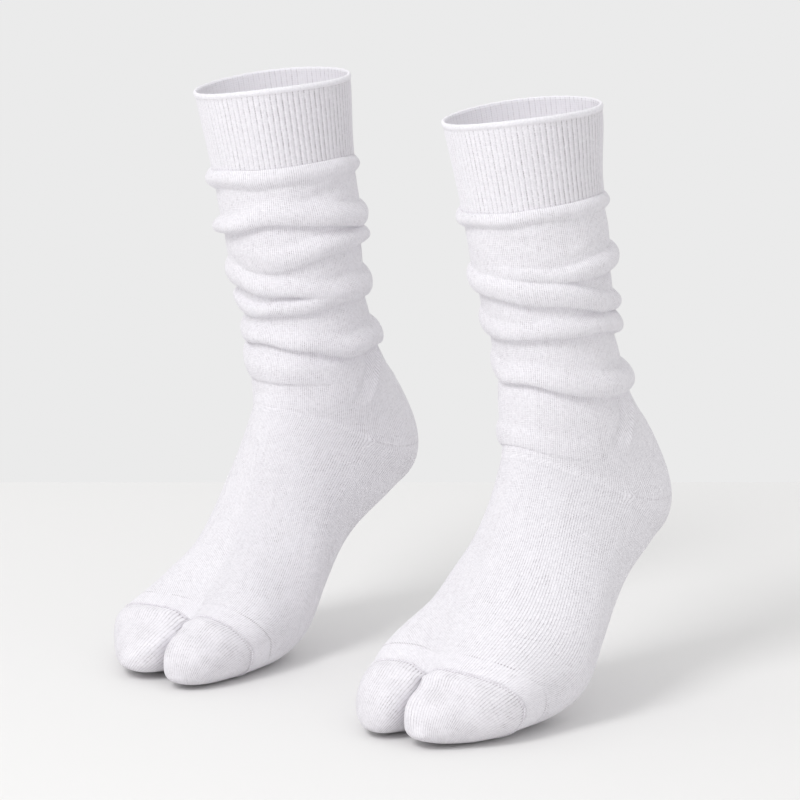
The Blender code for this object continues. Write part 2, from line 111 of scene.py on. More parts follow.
# Rows of points down the leg, the foot, the heel pocket and a toe lobe, and rounds of evening them out
LEG_ROWS, FOOT_ROWS, HEEL_ROWS, LOBE_ROWS, RELAX_TIMES = 176, 62, 33, 60, 24
# Steps that the leg's rows are picked from, and points round a linking stitch and along it
FINE_ROWS, CHAIN_POINTS = 900, 8
# The side line's distance to the cuff's first rib row, and the turn, on the side away from the key light,
# where its ribs are deepest and their painted shade darkest
RIBS_FROM, SHADED_RIB_TURN = 2.8, 95
# How far columns are drawn together at the toe band, in radians, and the corner of a lobe's root in degrees
COLUMN_DRAW, LOBE_CORNER = 0.22, 35
# How much closer a lobe's rows lie towards its tip, and the root in its dome's law
LOBE_CROWD, DOME_ROOT = 1.7, 2.2
# Mean radius of the leg, and a mark's value where its line is far off
LEG_RADIUS, FAR = 42, 99.0
# Where the leg meets the cuff: how far its edge is tucked in and up, and over what distance the seam's
# own line ends, and the folds at the ankle
TUCK_IN, TUCK_UP, SEAM_FADE, ANKLE_FADE = 0.6, 1.2, 30, 18

# Folds of the slouched leg, down from the cuff's seam. Angles go round from the toes' direction towards +X.
# deep is the crest's distance below the seam, out how far it stands out, and fall and rise how far the
# roll reaches below and above its crest. top and foot shape those two sides: under 1 is a sharp corner
# where the roll meets the leg, over 1 a soft one. droop is its sag, and crease the dent under it.
DEEP_ANGLES = (-45, -20, 0, 20, 45, 70, 90, 110, 135, 180, 225, 270)
OUT_ANGLES = (-45, 0, 45, 90, 135, 225)
SPAN_ANGLES = (-45, 45, 135, 225)
FOLD_ANGLES = {
    "deep": DEEP_ANGLES, "out": OUT_ANGLES, "rise": SPAN_ANGLES, "fall": OUT_ANGLES, "top": SPAN_ANGLES
}
FOLD_COLUMNS = "name deep out rise fall top foot droop crease".split()
FOLDS = {
    "right": (
        ("under_cuff", (5, 5, 5, 5, 5, 5, 5, 5, 6, 6, 5, 5), (5.4, 3.4, 2.4, 2.6, 3.2, 3.4), (5, 5, 5, 5),
         (7, 6, 6, 6, 6, 7), (1.1, 1.1, 1.1, 1.1), 1.2, 0, 0.2),
        ("second", (36, 33, 30, 27, 27, 31, 35, 38, 41, 44, 42, 38), (6.4, 4.4, 3.2, 4, 6, 4.4),
         (5, 10, 8, 8), (6, 5.5, 7, 7, 8, 6.5), (1, 1.8, 0.8, 1.4), 0.5, 0.2, 0.7),
        ("third", (51, 51, 52, 53, 52, 50, 50, 52, 55, 58, 56, 52), (0, 1.2, 3, 3.6, 5.6, 2.8), (5, 8, 6, 6),
         (9, 11, 9, 7, 6, 7), (1.2, 1.5, 0.7, 1.2), 0.9, 0.2, 0.4),
        ("fourth", (66, 69, 72, 74, 77, 80, 81, 82, 84, 80, 75, 68), (4.6, 3.8, 3.2, 3.8, 5.8, 4.2),
         (9, 9, 8, 9), (10, 6, 4.5, 9, 10, 7), (1, 1.6, 0.8, 1.3), 0.7, 0.2, 0.5),
        ("fourth_low", (84, 86, 87, 86, 84, 84, 85, 87, 90, 92, 89, 85), (4.2, 3.6, 3.2, 2.4, 0, 2.6),
         (4, 5, 5, 6), (10, 5.5, 7, 6, 5, 6), (0.9, 1.3, 1.2, 1.2), 0.7, 0.2, 0.5),
        ("fifth", (104, 104, 104, 106, 110, 116, 119, 120, 122, 119, 113, 105), (4.2, 3.6, 3.2, 3.8, 6, 4.2),
         (4.5, 9, 9, 9), (8, 5.5, 5.5, 7, 8, 7), (0.9, 1.6, 0.8, 1.3), 0.6, 0.2, 0.6),
        ("sixth", (120, 122, 123, 125, 128, 131, 134, 137, 140, 137, 131, 123), (3.4, 2.8, 0.9, 0, 0, 1.8),
         (9, 9, 9, 9), (11, 8, 8, 8, 8, 8), (1.1, 1.4, 1.3, 1.3), 0.8, 0.1, 0.6),
    ),
    "left": (
        ("under_cuff", (4, 4, 4, 4, 4, 4, 4, 5, 5, 5, 4, 4), (4.4, 3, 2.4, 2.6, 3.2, 3.2),
         (4.5, 4.5, 5, 4.5), (7, 5, 4.5, 5, 6, 6), (1.1, 1.1, 1.1, 1.1), 1.2, 0, 0.2),
        ("second", (38, 37, 37, 39, 41, 42, 42, 42, 43, 44, 41, 38), (0, 0.4, 2.4, 3.8, 6.4, 2.4),
         (4, 3.5, 7, 7), (4, 5, 5, 8, 8, 5), (1.2, 0.8, 0.8, 1.3), 0.7, 0.2, 0.5),
        ("third", (45, 46, 48, 49, 51, 57, 63, 68, 72, 66, 58, 49), (4.2, 3.6, 3.2, 3.8, 5.4, 4),
         (6, 7, 6, 7), (8, 8.5, 10, 8, 6, 8), (0.8, 1.4, 0.7, 1.3), 0.5, 0.2, 0.9),
        ("fourth", (73, 77, 77, 76, 76, 77, 79, 82, 86, 86, 81, 75), (3.2, 3, 3, 3.8, 5.6, 4.2),
         (8, 8, 8, 9), (9, 4, 5.5, 5, 6.5, 6), (0.9, 1.5, 0.8, 1.3), 0.6, 0.2, 0.7),
        ("fifth", (101, 103, 103, 104, 107, 113, 117, 120, 123, 119, 113, 104), (2.8, 3.2, 3, 4, 6, 4.4),
         (8, 9, 10, 10), (8, 4.5, 7, 8, 8, 7), (0.9, 1.6, 0.8, 1.3), 0.6, 0.2, 0.8),
        ("instep", (150, 150, 150, 154, 160, 164, 168, 172, 174, 172, 168, 156), (2.8, 1.8, 0.7, 0, 0, 0.2),
         (9, 8, 8, 8), (8, 7.5, 7, 7, 7, 7), (1.1, 1.5, 1.3, 1.3), 0.9, 0.1, 0.3),
    ),
}
# Soft dents (out below 0) and ridges: the middle's turn in degrees and distance below the seam, half
# lengths round and down the leg, and slant, millimetres further down for each millimetre round.
DENT_COLUMNS = "turn deep long tall slant out".split()
DENTS = {
    "right": (
        (84, 17, 24, 3, -0.16, -1.5), (20, 20, 14, 6, 0.3, 0.5), (125, 24, 10, 7, 0, -0.6),
        (-20, 58, 9, 4, 0.6, -0.9), (5, 100, 14, 4, 0.1, -0.5), (60, 98, 18, 5, 0.2, -0.6),
        (104, 130, 2.6, 6, 0, -2), (112, 145, 13, 3.2, -1.05, 3.2), (100, 140, 11, 3.4, -1.05, -2.2),
        (70, 128, 22, 3, 0.12, 0.7), (190, 25, 24, 3, 0.2, -0.8), (250, 64, 20, 3, -0.2, -0.8),
        (215, 104, 24, 3.2, 0.15, -0.7),
    ),
    "left": (
        (30, 20, 20, 3, 0.1, -0.5), (90, 18, 16, 5, 0.1, 0.5), (65, 30, 20, 3, -0.18, 0.6),
        (110, 52, 9, 3, -0.1, -1.4), (105, 72, 9, 3.4, -0.05, -1.6), (-25, 62, 12, 5, 0.3, -0.6),
        (70, 92, 18, 5, 0.2, -0.5), (104, 134, 2.6, 8, 0, -2), (112, 150, 13, 3.2, -1.05, 3),
        (100, 145, 11, 3.4, -1.05, -2.2), (190, 25, 24, 3, 0.2, -0.8), (250, 60, 20, 3, -0.2, -0.8),
        (215, 98, 24, 3.2, 0.15, -0.7),
    ),
}
# How far a crest wanders, the share of a lower roll that adds to a higher one, how deep the dent under a
# roll is and how much deeper at VIEW_TURN, and the height of the slow unevenness
WANDER, OVERLAP, DENT_DEEP, DENT_MORE, SLOW_HEIGHT = 0.5, 0.15, 1.3, 1.5, 0.16
# How far below the leg's first ring the cuff's seam lies, at DEEP_ANGLES
SEAM_DROP = {
    "right": (1.5, -0.8, -2, -2, -2, -2, -1, 1.2, 3, 3, 2, 2),
    "left": (6, 4.6, 3.5, 3, 2, 2, 2.5, 3.4, 5, 5, 5, 5.5),
}

# How far forward the slouched leg sags, and how far back the rim gives at the back of the calf
SAG = {"right": 2.2, "left": 2.6}
RIM_BACK = {"right": 2.8, "left": 6.0}
SAG_FROM_Z, SAG_FULL_Z, RIM_FROM_Z = 185, 270, 315

SIDES = {"right": -1.0, "left": 1.0}
PLACED = {
    "right": {"across": -100.5, "back": -6.6, "turn": 3, "aside_lean": 3, "girth": 1},
    "left": {"across": 107.5, "back": 0, "turn": 2.5, "aside_lean": 4, "girth": 0.96},
}
# How each foot is filled out, at stations back from the toes: inner and outer widen the big and the
# small toes' half, high raises the top and fore brings it forward
FILL_COLUMNS = "y inner outer high fore".split()
FILL = {
    "right": (
        (-2, 4, 5, 2, 2.5), (22, -2.5, 4, 1.5, 1.5), (50, -3, 13, -4, -3.5),
        (85, -6, -2.5, -7, -1.5), (125, -2.5, -5, 3.5, 4.5), (165, -3, -2, 4, 6.5),
        (205, -1, -0.5, 0.5, 2.5), (245, 0, 0, 1.5, -1), (290, 0, 0, 0, 0),
    ),
    "left": (
        (-2, 0.5, 0, -1, 1.5), (22, 4, -5, 1.5, 3.5), (50, 10.5, -0.5, 4, 1),
        (85, 8, 0, -1.5, -1), (125, 0.5, 1, 0, 2), (165, -1, -0.5, 0.5, 2),
        (205, -1, 1.5, -1.5, -1), (245, 0, 0.5, 0, -1.5), (290, 0, 0, 0, 0),
    ),
}
FILL_TOP_Z, FILL_FADE, FILL_HALF, FILL_HEIGHT = 110.0, 55.0, 45.0, 60.0
LEAN_FROM_Z, RIM_ROLL, RIM_BOW = 68.0, 4.5, 2.9
ANKLE_Z, RIM_Z, RIM_MIDDLE_Y = 124.0, 358.0, 137.0
HEEL_TURN_Y = 205.0
HELD_SIDE = "left"


def read_rows(columns, rows):
    """One array for each named column of numbers."""
    return {name: np.array([row[i] for row in rows], float) for i, name in enumerate(columns) if i}


LEG = read_rows(SECTION_COLUMNS, LEG_SECTIONS)
FOOT = read_rows(SECTION_COLUMNS, FOOT_SECTIONS)


def knots(table):
    """Distance down the side line to each section: the running sum of the steps between them."""
    return np.concatenate(([0.0], np.cumsum(np.hypot(np.diff(table["side_y"]), np.diff(table["side_z"])))))


def smooth(at_knots, values, at):
    """A cubic through the values, with each slope taken from the two neighbours."""
    slope = np.gradient(values, at_knots)
    at = np.clip(at, at_knots[0], at_knots[-1])
    i = np.clip(np.searchsorted(at_knots, at, side="right") - 1, 0, len(at_knots) - 2)
    width = at_knots[i + 1] - at_knots[i]
    t = (at - at_knots[i]) / width
    return (
        (2 * t**3 - 3 * t**2 + 1) * values[i] + (t**3 - 2 * t**2 + t) * slope[i] * width
        + (3 * t**2 - 2 * t**3) * values[i + 1] + (t**3 - t**2) * slope[i + 1] * width
    )


def smooth_round(angles, values, at):
    """The same cubic round a full turn, for values at angles in degrees."""
    angles = np.array(angles, float)
    wide = np.concatenate((angles - 360, angles, angles + 360))
    return smooth(wide, np.tile(np.array(values, float), 3), (at - angles[0]) % 360 + angles[0])


def signed_power(value, power):
    return np.sign(value) * np.abs(value) ** power


def ease(value, low, high):
    """0 below low, 1 above high, and 3t squared less 2t cubed between."""
    t = np.clip((np.asarray(value, float) - low) / (high - low), 0, 1)
    return t * t * (3 - 2 * t)


def oval(angle, full):
    """How far across and how far to the front or back a ring of that fullness lies in an angle's direction.

    Fullness n stands for the curve where the nth powers of the two shares add up to one.
    """
    s, c = np.sin(angle), np.cos(angle)
    size = (np.abs(s) ** full + np.abs(c) ** full) ** (1 / full)
    return s / size, c / size


def skin(table, along, angle):
    """Points at a distance down the side line and an angle round the ring.

    A ring is a rounded oval through its front, side and back points. A bell-shaped groove is pressed in
    along the line where the toes part.
    """
    along, angle = np.broadcast_arrays(along, angle)
    v = {name: smooth(knots(table), values, along) for name, values in table.items()}
    front = np.cos(angle) >= 0
    s, c = oval(angle, np.where(front, v["full_front"], v["full_back"]))
    reach = np.abs(c)
    spread = s * np.where(s > 0, v["half_out"], v["half_in"])
    y = v["side_y"] + (np.where(front, v["front_y"], v["back_y"]) - v["side_y"]) * reach
    y = y + v["skew"] * np.clip(spread / v["half_out"], 0, 1) ** 2
    z = v["side_z"] + (np.where(front, v["front_z"], v["back_z"]) - v["side_z"]) * reach
    groove = v["groove"] * np.exp(-((spread / GROOVE_WIDTH) ** 2))
    z = z - np.where(front, groove, -0.6 * groove)
    return np.stack([v["mid_x"] + spread, y, z], axis=-1)


def ring_middle(table, along):
    """Half way from the front of each ring to its back."""
    names = ("front_y", "front_z", "back_y", "back_z", "mid_x")
    v = {name: smooth(knots(table), table[name], along) for name in names}
    y, z = ((v["front_" + axis] + v["back_" + axis]) / 2 for axis in "yz")
    return np.stack([v["mid_x"], y, z], axis=-1)


def unit(vectors):
    return vectors / np.maximum(np.linalg.norm(vectors, axis=-1, keepdims=True), 1e-9)


def leg_skin(side, along, angle):
    """The leg without folds, its rings drawn in to the sock's girth, and the ways out and down."""
    points = skin(LEG, along, angle)
    middle = ring_middle(LEG, along + 0 * angle)
    out = unit(points - middle)
    down = unit(skin(LEG, along + 1.0, angle) - skin(LEG, along - 1.0, angle))
    k = knots(LEG)
    full = 1 - np.clip((along - k[-3]) / (k[-1] - k[-3]), 0, 1)
    share = 1 + (PLACED[side]["girth"] - 1) * full
    return middle + (points - middle) * share[..., None], out, down


def fill(points, side):
    """Shape the foot as this sock is filled out, by its own table. It fades out above FILL_TOP_Z."""
    v = dict(zip(FILL_COLUMNS, np.array(FILL[side]).T))
    x, y, z = points[..., 0], points[..., 1], points[..., 2]
    low = 1 - ease(z, FILL_TOP_Z, FILL_TOP_Z + FILL_FADE)
    inner, outer, high, fore = (smooth(v["y"], v[name], y) * low for name in FILL_COLUMNS[1:])
    off = (x - CROTCH_X) / FILL_HALF
    wide = np.where(off < 0, inner, outer) * off
    return np.stack([x + wide, y - fore, z * (1 + high / FILL_HEIGHT)], axis=-1)


def stand(points, side):
    """Mirror a sock for its side, lean its leg aside, turn it on its heel, and move it to its place."""
    place = PLACED[side]
    points = fill(points, side)
    above = np.clip((points[..., 2] - ANKLE_Z) / (RIM_Z - ANKLE_Z), 0, 1)
    x, y, z = points[..., 0] * SIDES[side], points[..., 1], points[..., 2]
    up = np.clip(z - LEAN_FROM_Z, 0, None)
    z = z + x * np.tan(above * math.radians(RIM_ROLL))
    x = x - up * math.tan(math.radians(place["aside_lean"]))
    a = math.radians(place["turn"])
    across = x * math.cos(a) - (y - HEEL_TURN_Y) * math.sin(a)
    back = x * math.sin(a) + (y - HEEL_TURN_Y) * math.cos(a) + HEEL_TURN_Y
    return np.stack([across + place["across"], back + place["back"], z], axis=-1)


def held_point():
    """The middle of the held sock's cuff opening, which is the frame's origin."""
    angle = np.linspace(0, TURN, 24, endpoint=False)
    return stand(leg_skin(HELD_SIDE, np.zeros(24), angle)[0], HELD_SIDE).mean(axis=0)


ORIGIN = held_point()


def rolls(side, turn_degrees):
    """Each fold of a sock, with its curves worked out at these angles."""
    for row in FOLDS[side]:
        fold = dict(zip(FOLD_COLUMNS, row))
        for key, angles in FOLD_ANGLES.items():
            fold[key] = smooth_round(angles, fold[key], turn_degrees)
        yield fold


def roll_shape(away, fold):
    """A roll's height: one less the square of the way to its edge, to the power of that side's shape."""
    reach = np.where(away < 0, fold["rise"], fold["fall"])
    return np.clip(1 - (away / reach) ** 2, 0, 1) ** np.where(away < 0, fold["top"], fold["foot"])


def folds(side, below, turn_degrees, scale):
    """How far the folds carry the cloth out and down.

    Each fold is a roll that droops over a narrow dent pressed in under it, and its height and place
    waver a little round the leg. Rolls that meet don't add up: the higher one shows. Soft dents and a
    slow unevenness, three crossed sine waves, come on top.
    """
    turn = np.radians(turn_degrees)
    facing = np.cos(turn - math.radians(VIEW_TURN)) ** 2
    out = np.zeros(np.broadcast(below, turn).shape)
    droop, dent = out.copy(), out.copy()
    for number, fold in enumerate(rolls(side, turn_degrees)):
        deep = fold["deep"] + WANDER * np.sin(6 * turn + 2.3 * number)
        waver = 1 + 0.07 * np.sin(4 * turn + 1.7 * number) + 0.04 * np.sin(9 * turn + 2.9 * number)
        height = np.maximum(fold["out"], 0) * waver
        away, fall = (below - deep) * scale, fold["fall"]
        roll = height * roll_shape(away, fold)
        out = np.maximum(out, roll) + OVERLAP * np.minimum(out, roll)
        droop = np.maximum(droop, fold["droop"] * roll)
        under = ease(away, fall - 1.0, fall + 0.6) * np.exp(-np.clip((away - fall) / 6.5, 0, None) ** 2)
        press = (DENT_DEEP + DENT_MORE * facing) * fold["crease"] * np.clip(height / 2.5, 0, 1)
        dent = np.maximum(dent, press * under)
    out = out - dent * np.clip(1 - out / 2.5, 0, 1)
    for row in DENTS[side]:
        d = dict(zip(DENT_COLUMNS, row))
        round_mm = ((turn_degrees - d["turn"] + 180) % 360 - 180) * (TURN / 360) * LEG_RADIUS
        down_mm = (below - d["deep"]) * scale - d["slant"] * round_mm
        out = out + d["out"] * np.exp(-((round_mm / d["long"]) ** 2) - (down_mm / d["tall"]) ** 2)
    slow = np.sin(2 * turn + below / 9) + np.sin(5 * turn - below / 6 + 1) + np.sin(7 * turn + below / 14 + 2)
    return out + SLOW_HEIGHT * slow * np.clip(below / 12, 0, 1), droop


def gather_rows(side, count, length, turn_degrees):
    """Each column's rows, closer together at the rolls' edges: equal shares of a running sum of density."""
    fine = np.linspace(0, length, FINE_ROWS)[:, None]
    density = np.ones((1, len(turn_degrees))) + 0 * fine
    for fold in rolls(side, turn_degrees):
        share = np.clip(fold["out"] / 2, 0, 1)
        for reach, shape, sign in (("fall", "foot", 1), ("rise", "top", -1)):
            edge = fold["deep"] + sign * fold[reach]
            near = np.exp(-(((fine - edge + sign * 0.5) / 1.6) ** 2))
            density = density + 3.2 * np.clip(1.2 - fold[shape], 0, 1) * share * near
    total = np.cumsum(density, axis=0)
    total = (total - total[:1]) / (total[-1:] - total[:1]) * 0.999999
    lane = np.arange(len(turn_degrees))[None, :]
    want = np.linspace(0, 0.999999, count)[:, None] + lane
    spread = np.interp(want.T.ravel(), (total + lane).T.ravel(), np.tile(fine[:, 0], len(turn_degrees)))
    return spread.reshape(len(turn_degrees), count).T


def sock_points(points, side):
    """Sock millimetres to the frame's metres. The leg sags a little forward and the rim gives to the back."""
    placed = stand(points, side)
    high = points[..., 2]
    placed[..., 1] -= SAG[side] * ease(high, SAG_FROM_Z, SAG_FULL_Z)
    back = ease(points[..., 1] - RIM_MIDDLE_Y, -30, 45)
    placed[..., 1] += RIM_BACK[side] * ease(high, RIM_FROM_Z, RIM_Z) * back
    return (placed - ORIGIN) * MM


class Cloth:
    """Grids of points that may share their edges, with the knit's wale and course at each face's corners."""

    def __init__(self):
        self.points, self.count = [], 0
        self.corners, self.knit, self.marks = [], [], {}

    def add(self, points):
        flat = np.reshape(points, (-1, 3))
        index = np.arange(self.count, self.count + len(flat)).reshape(np.shape(points)[:-1])
        self.points.append(flat)
        self.count += len(flat)
        return index

    def lay(self, index, wale, course, outwards=True):
        """Faces between a grid's rows and columns. A face with two equal corners becomes a triangle."""
        wale, course = np.broadcast_arrays(wale, course)
        knit = np.stack([wale, course], axis=-1)
        near, far = slice(None, -1), slice(1, None)
        pick = [(near, near), (far, near), (far, far), (near, far)]
        if not outwards:
            pick = pick[::-1]
        corner = np.stack([index[p] for p in pick], axis=-1).reshape(-1, 4)
        value = np.stack([knit[p] for p in pick], axis=-2).reshape(-1, 4, 2)
        self.corners.append(corner)
        self.knit.append(value)

    def mesh(self, name):
        """The mesh: quads first and then triangles, with the UV map as wale and course."""
        corner, value = np.concatenate(self.corners), np.concatenate(self.knit)
        same = corner == np.roll(corner, -1, axis=1)
        whole = ~same.any(axis=1)
        thin, thin_value, drop = corner[~whole], value[~whole], same[~whole].argmax(axis=1)
        keep = np.arange(4)[None, :] != drop[:, None]
        tri, tri_value = thin[keep].reshape(-1, 3), thin_value[keep].reshape(-1, 3, 2)
        loops = np.concatenate((corner[whole].ravel(), tri.ravel())).astype(np.int32)
        uv = np.concatenate((value[whole].reshape(-1, 2), tri_value.reshape(-1, 2)))
        quads = int(whole.sum())
        starts = np.concatenate((np.arange(quads) * 4, quads * 4 + np.arange(len(tri)) * 3)).astype(np.int32)
        points = np.concatenate(self.points)
        mesh = bpy.data.meshes.new(name)
        mesh.vertices.add(len(points))
        mesh.vertices.foreach_set("co", points.astype(np.float32).ravel())
        mesh.loops.add(len(loops))
        mesh.loops.foreach_set("vertex_index", loops)
        mesh.polygons.add(len(starts))
        mesh.polygons.foreach_set("loop_start", starts)
        mesh.update(calc_edges=True)
        layer = mesh.uv_layers.new(name="Knit")
        layer.data.foreach_set("uv", uv.astype(np.float32).ravel())
        for mark, values in self.marks.items():
            attribute = mesh.attributes.new(mark, "FLOAT", "POINT")
            attribute.data.foreach_set("value", np.asarray(values, np.float32))
        mesh.polygons.foreach_set("use_smooth", np.ones(len(starts), bool))
        mesh.validate()
        return mesh


def ringed(grid):
    """The grid with its first column again after the last."""
    return np.concatenate((grid, grid[:, :1]), axis=1)


def place_object(name, data):
    thing = bpy.data.objects.new(name, data)
    bpy.context.scene.collection.objects.link(thing)
    return thing


def show(name, cloth, material, nodes=(), wall=0.0):
    """Put a piece of cloth in the scene, on the root body. A wall thickens it towards its inside."""
    mesh = cloth.mesh(name)
    mesh.materials.append(material)
    piece = place_object(name, mesh)
    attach(piece, "root")
    if nodes:
        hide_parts(*nodes)
    if wall:
        solidify = piece.modifiers.new("Wall", "SOLIDIFY")
        solidify.thickness, solidify.offset = wall, -1.0
    return piece


def seam_drop(side, turn_degrees):
    return smooth_round(DEEP_ANGLES, SEAM_DROP[side], turn_degrees)


def cuff_cloth(side, ribs, wall, rib_depth):
    """The cuff as one closed wall: up the outside, over the rounded welt and down the inside.

    Out from the ring by the rib's wave, which is the cosine of the rib count times the angle with
    flattened tops, on both faces, and deepest on the side turned from the key light. The welt is an oval
    of its own round the wall's middle, a little bumpy. The marks say what is welt and what is inside, and
    how deep the ribs are, which also sets how much painted shade they get on that side.
    """
    columns = ribs * 8
    angle = np.arange(columns) * TURN / columns
    turn_degrees = np.degrees(angle) * SIDES[side]
    up = np.linspace(1.0, 0.0, CUFF_ROWS)
    over = np.radians(np.linspace(WELT_FROM, WELT_TO, WELT_ROWS))
    side_rows = RIBS_FROM + (knots(LEG)[1] - RIBS_FROM) * up[:, None]
    side_rows = side_rows + seam_drop(side, turn_degrees) * ease(up, 0.3, 1.0)[:, None]
    bumpy = 1 + 0.07 * np.sin(2 * ribs * angle) + 0.06 * np.sin(37 * angle + 1)
    facing = np.cos(np.radians(turn_degrees - VIEW_TURN))
    lift = RIM_BOW * np.where(facing > 0, 1.0, 0.3) * facing ** 2
    side_rows = side_rows - lift * (1 - up[:, None]) ** 2
    welt = 0.9 - 2.0 * np.sin(over)[:, None] * bumpy - lift
    along = np.concatenate((side_rows, welt, side_rows[::-1]))
    welt_out = -wall / 2 + np.where(over < math.pi / 2, 1.5, 0.9) * np.cos(over)
    out = np.concatenate((0 * up, welt_out, 0 * up - wall))[:, None] * np.ones(columns)
    ribs_outside = ease(1 - up, 0.0, 0.05) * ease(up, 0.0, 0.10)
    ribs_inside = 0.7 * (ease(up, 0.0, 0.03) * ease(1 - up, 0.0, 0.05))[::-1]
    ribbed = np.concatenate((ribs_outside, 0 * over, ribs_inside))
    wave = signed_power(np.cos(ribs * angle), 0.8)
    uneven = 1 + 0.3 * np.sin(5 * angle + 0.8) * np.sin(11 * angle)
    # Ribs deepest, and their painted shade darkest, on the side turned from the key light
    deep_ribs_and_shade = 0.72 + 0.33 * np.cos(np.radians(turn_degrees - SHADED_RIB_TURN))
    out = out + wave * uneven * deep_ribs_and_shade * rib_depth * ribbed[:, None]
    base, way_out, down = leg_skin(side, np.maximum(along, 0), angle)
    points = base + way_out * out[..., None] + down * np.minimum(along, 0)[..., None]
    cloth = Cloth()
    index = ringed(cloth.add(sock_points(points, side)))
    index = np.concatenate((index, index[:1]))
    course = arc_down(points) / RIB_COURSE
    course = np.concatenate((course, course[-1:] + wall))
    wale = np.arange(columns + 1) / columns * ribs
    cloth.lay(index, wale, course[:, None], outwards=SIDES[side] < 0)
    inside = np.concatenate((0 * up, ease(over, math.pi / 2, math.pi), 0 * up + 1))
    welt = np.concatenate((0 * up, 1 - ease(over, 2.0, 2.9), 0 * up))
    cloth.marks = {
        "welt": np.repeat(welt, columns),
        "inside": np.repeat(inside, columns),
        "deep_ribs_and_shade": np.tile(deep_ribs_and_shade, len(inside)),
    }
    return cloth


def heel_skin(angle, share):
    """The heel pocket: at each angle a parabola from the ankle ring through the mitre to the foot's first."""
    upper = skin(LEG, knots(LEG)[-1], angle)
    lower = skin(FOOT, 0.0, angle)
    reach = np.abs(oval(angle, MITRE_FULL)[1])
    middle = (upper + lower) / 2
    middle[..., 1] = LEG["side_y"][-1] + (MITRE_BACK_Y - LEG["side_y"][-1]) * reach
    middle[..., 2] = LEG["side_z"][-1] + (MITRE_BACK_Z - LEG["side_z"][-1]) * reach
    s = share[..., None]
    return upper * (1 - s) * (1 - 2 * s) + middle * 4 * s * (1 - s) + lower * s * (2 * s - 1)


def foot_skin(along, angle):
    """The foot, no lower than the floor. Columns draw together over its top and sole towards the toes."""
    drawn = angle - COLUMN_DRAW * np.clip(along / knots(FOOT)[-2], 0, 1) * np.sin(2 * angle)
    points = skin(FOOT, along, drawn)
    points[..., 2] = np.maximum(points[..., 2], 0.0)
    return points


def arc_each(points):
    """The distance down the cloth to each point of its own column."""
    step = np.linalg.norm(np.diff(points, axis=0), axis=-1)
    return np.concatenate((0 * step[:1], np.cumsum(step, axis=0)))


def arc_down(points):
    """The mean distance down the cloth to each row."""
    return np.concatenate(([0.0], np.cumsum(np.linalg.norm(np.diff(points, axis=0), axis=-1).mean(axis=1))))


def slouched_leg(side, angle):
    """The leg's grid: its skin from the cuff's seam down, moved out and down by the folds.

    Its first rows are tucked a little in and up behind the cuff, and the folds die out at the ankle.
    """
    turn_degrees = np.degrees(angle) * SIDES[side]
    start, end = knots(LEG)[1], knots(LEG)[-1]
    below = gather_rows(side, LEG_ROWS, end - start, turn_degrees)
    drop = seam_drop(side, turn_degrees) * (1 - ease(below, 0, SEAM_FADE))
    along = below + start + drop - TUCK_UP * (1 - ease(below, 0, 5))
    base, out, down = leg_skin(side, along, angle)
    scale = np.linalg.norm(skin(LEG, along + 1, angle) - skin(LEG, along - 1, angle), axis=-1) / 2
    bulge, droop = folds(side, below, turn_degrees, np.maximum(scale, 0.35))
    fade = ease(end - start - below, 0, ANKLE_FADE)
    lip = ease(below, -0.1, 0.9)
    bulge = bulge * fade * lip - TUCK_IN * (1 - lip)
    return base + out * bulge[..., None] + down * (droop * fade)[..., None]


def body_cloth(side, columns, wales, course_mm):
    """Leg, heel, foot and toe band as one welded skin. The wale count runs round and the courses down it.

    The marks are the distances from the band's back line and from the heel's gore line. Where the leg,
    heel and foot meet, the points are evened out at the end.
    """
    angle = np.arange(columns) * TURN / columns
    leg = slouched_leg(side, angle)
    foot_rows = np.linspace(0.0, knots(FOOT)[-1], FOOT_ROWS)
    foot = foot_skin(foot_rows[:, None], angle)
    share = np.linspace(0, 1, HEEL_ROWS)
    back = np.arange(columns // 4, columns - columns // 4 + 1)
    heel = heel_skin(angle[back], share[:, None])
    cloth = Cloth()
    leg_index = cloth.add(leg)
    foot_index = cloth.add(foot[1:])
    first = leg_index[-1].copy()
    first[back[1:-1]] = cloth.add(foot[0, back[1:-1]])
    foot_index = np.concatenate((first[None], foot_index))
    heel_index = np.empty(heel.shape[:2], int)
    heel_index[0], heel_index[-1] = leg_index[-1, back], first[back]
    heel_index[1:-1, 1:-1] = cloth.add(heel[1:-1, 1:-1])
    heel_index[1:-1, 0], heel_index[1:-1, -1] = heel_index[0, 0], heel_index[0, -1]
    wale = np.arange(columns + 1) / columns * wales
    down_leg = ringed(arc_each(leg) / course_mm)
    last = down_leg[-1:]
    down_foot = arc_down(foot)[:, None] / course_mm + last
    down_heel = arc_each(heel) / course_mm + last[:, back]
    cloth.lay(ringed(leg_index), wale, down_leg, outwards=SIDES[side] > 0)
    cloth.lay(ringed(foot_index), wale, down_foot, outwards=SIDES[side] > 0)
    cloth.lay(heel_index, wale[back], down_heel, outwards=SIDES[side] > 0)
    band, gore = np.full((2, cloth.count), FAR)
    band[foot_index[1:].ravel()] = np.repeat(foot_rows[1:] - knots(FOOT)[-2], columns)
    open_mm = np.linalg.norm(heel[-1] - heel[0], axis=-1)
    gore[heel_index[1:-1, 1:-1].ravel()] = ((share[1:-1, None] - 0.5) * open_mm[1:-1]).ravel()
    cloth.marks = {"band_mm": band, "gore_mm": gore}
    points = np.concatenate(cloth.points)
    tip = leg[-1, [columns // 4, -columns // 4]]
    near = np.min(np.linalg.norm(points[:, None] - tip[None], axis=-1), axis=1)
    even = 0.8 * (1 - ease(near, 10, 34))
    joins = np.concatenate((leg_index[-6:].ravel(), first, heel_index[-2:].ravel(), foot_index[:5].ravel()))
    even[joins] = np.maximum(even[joins], 0.5)
    even[[*leg_index[0], *foot_index[-1]]] = 0
    points = relax(points, np.concatenate(cloth.corners), even, RELAX_TIMES)
    cloth.points = [sock_points(points, side)]
    return cloth


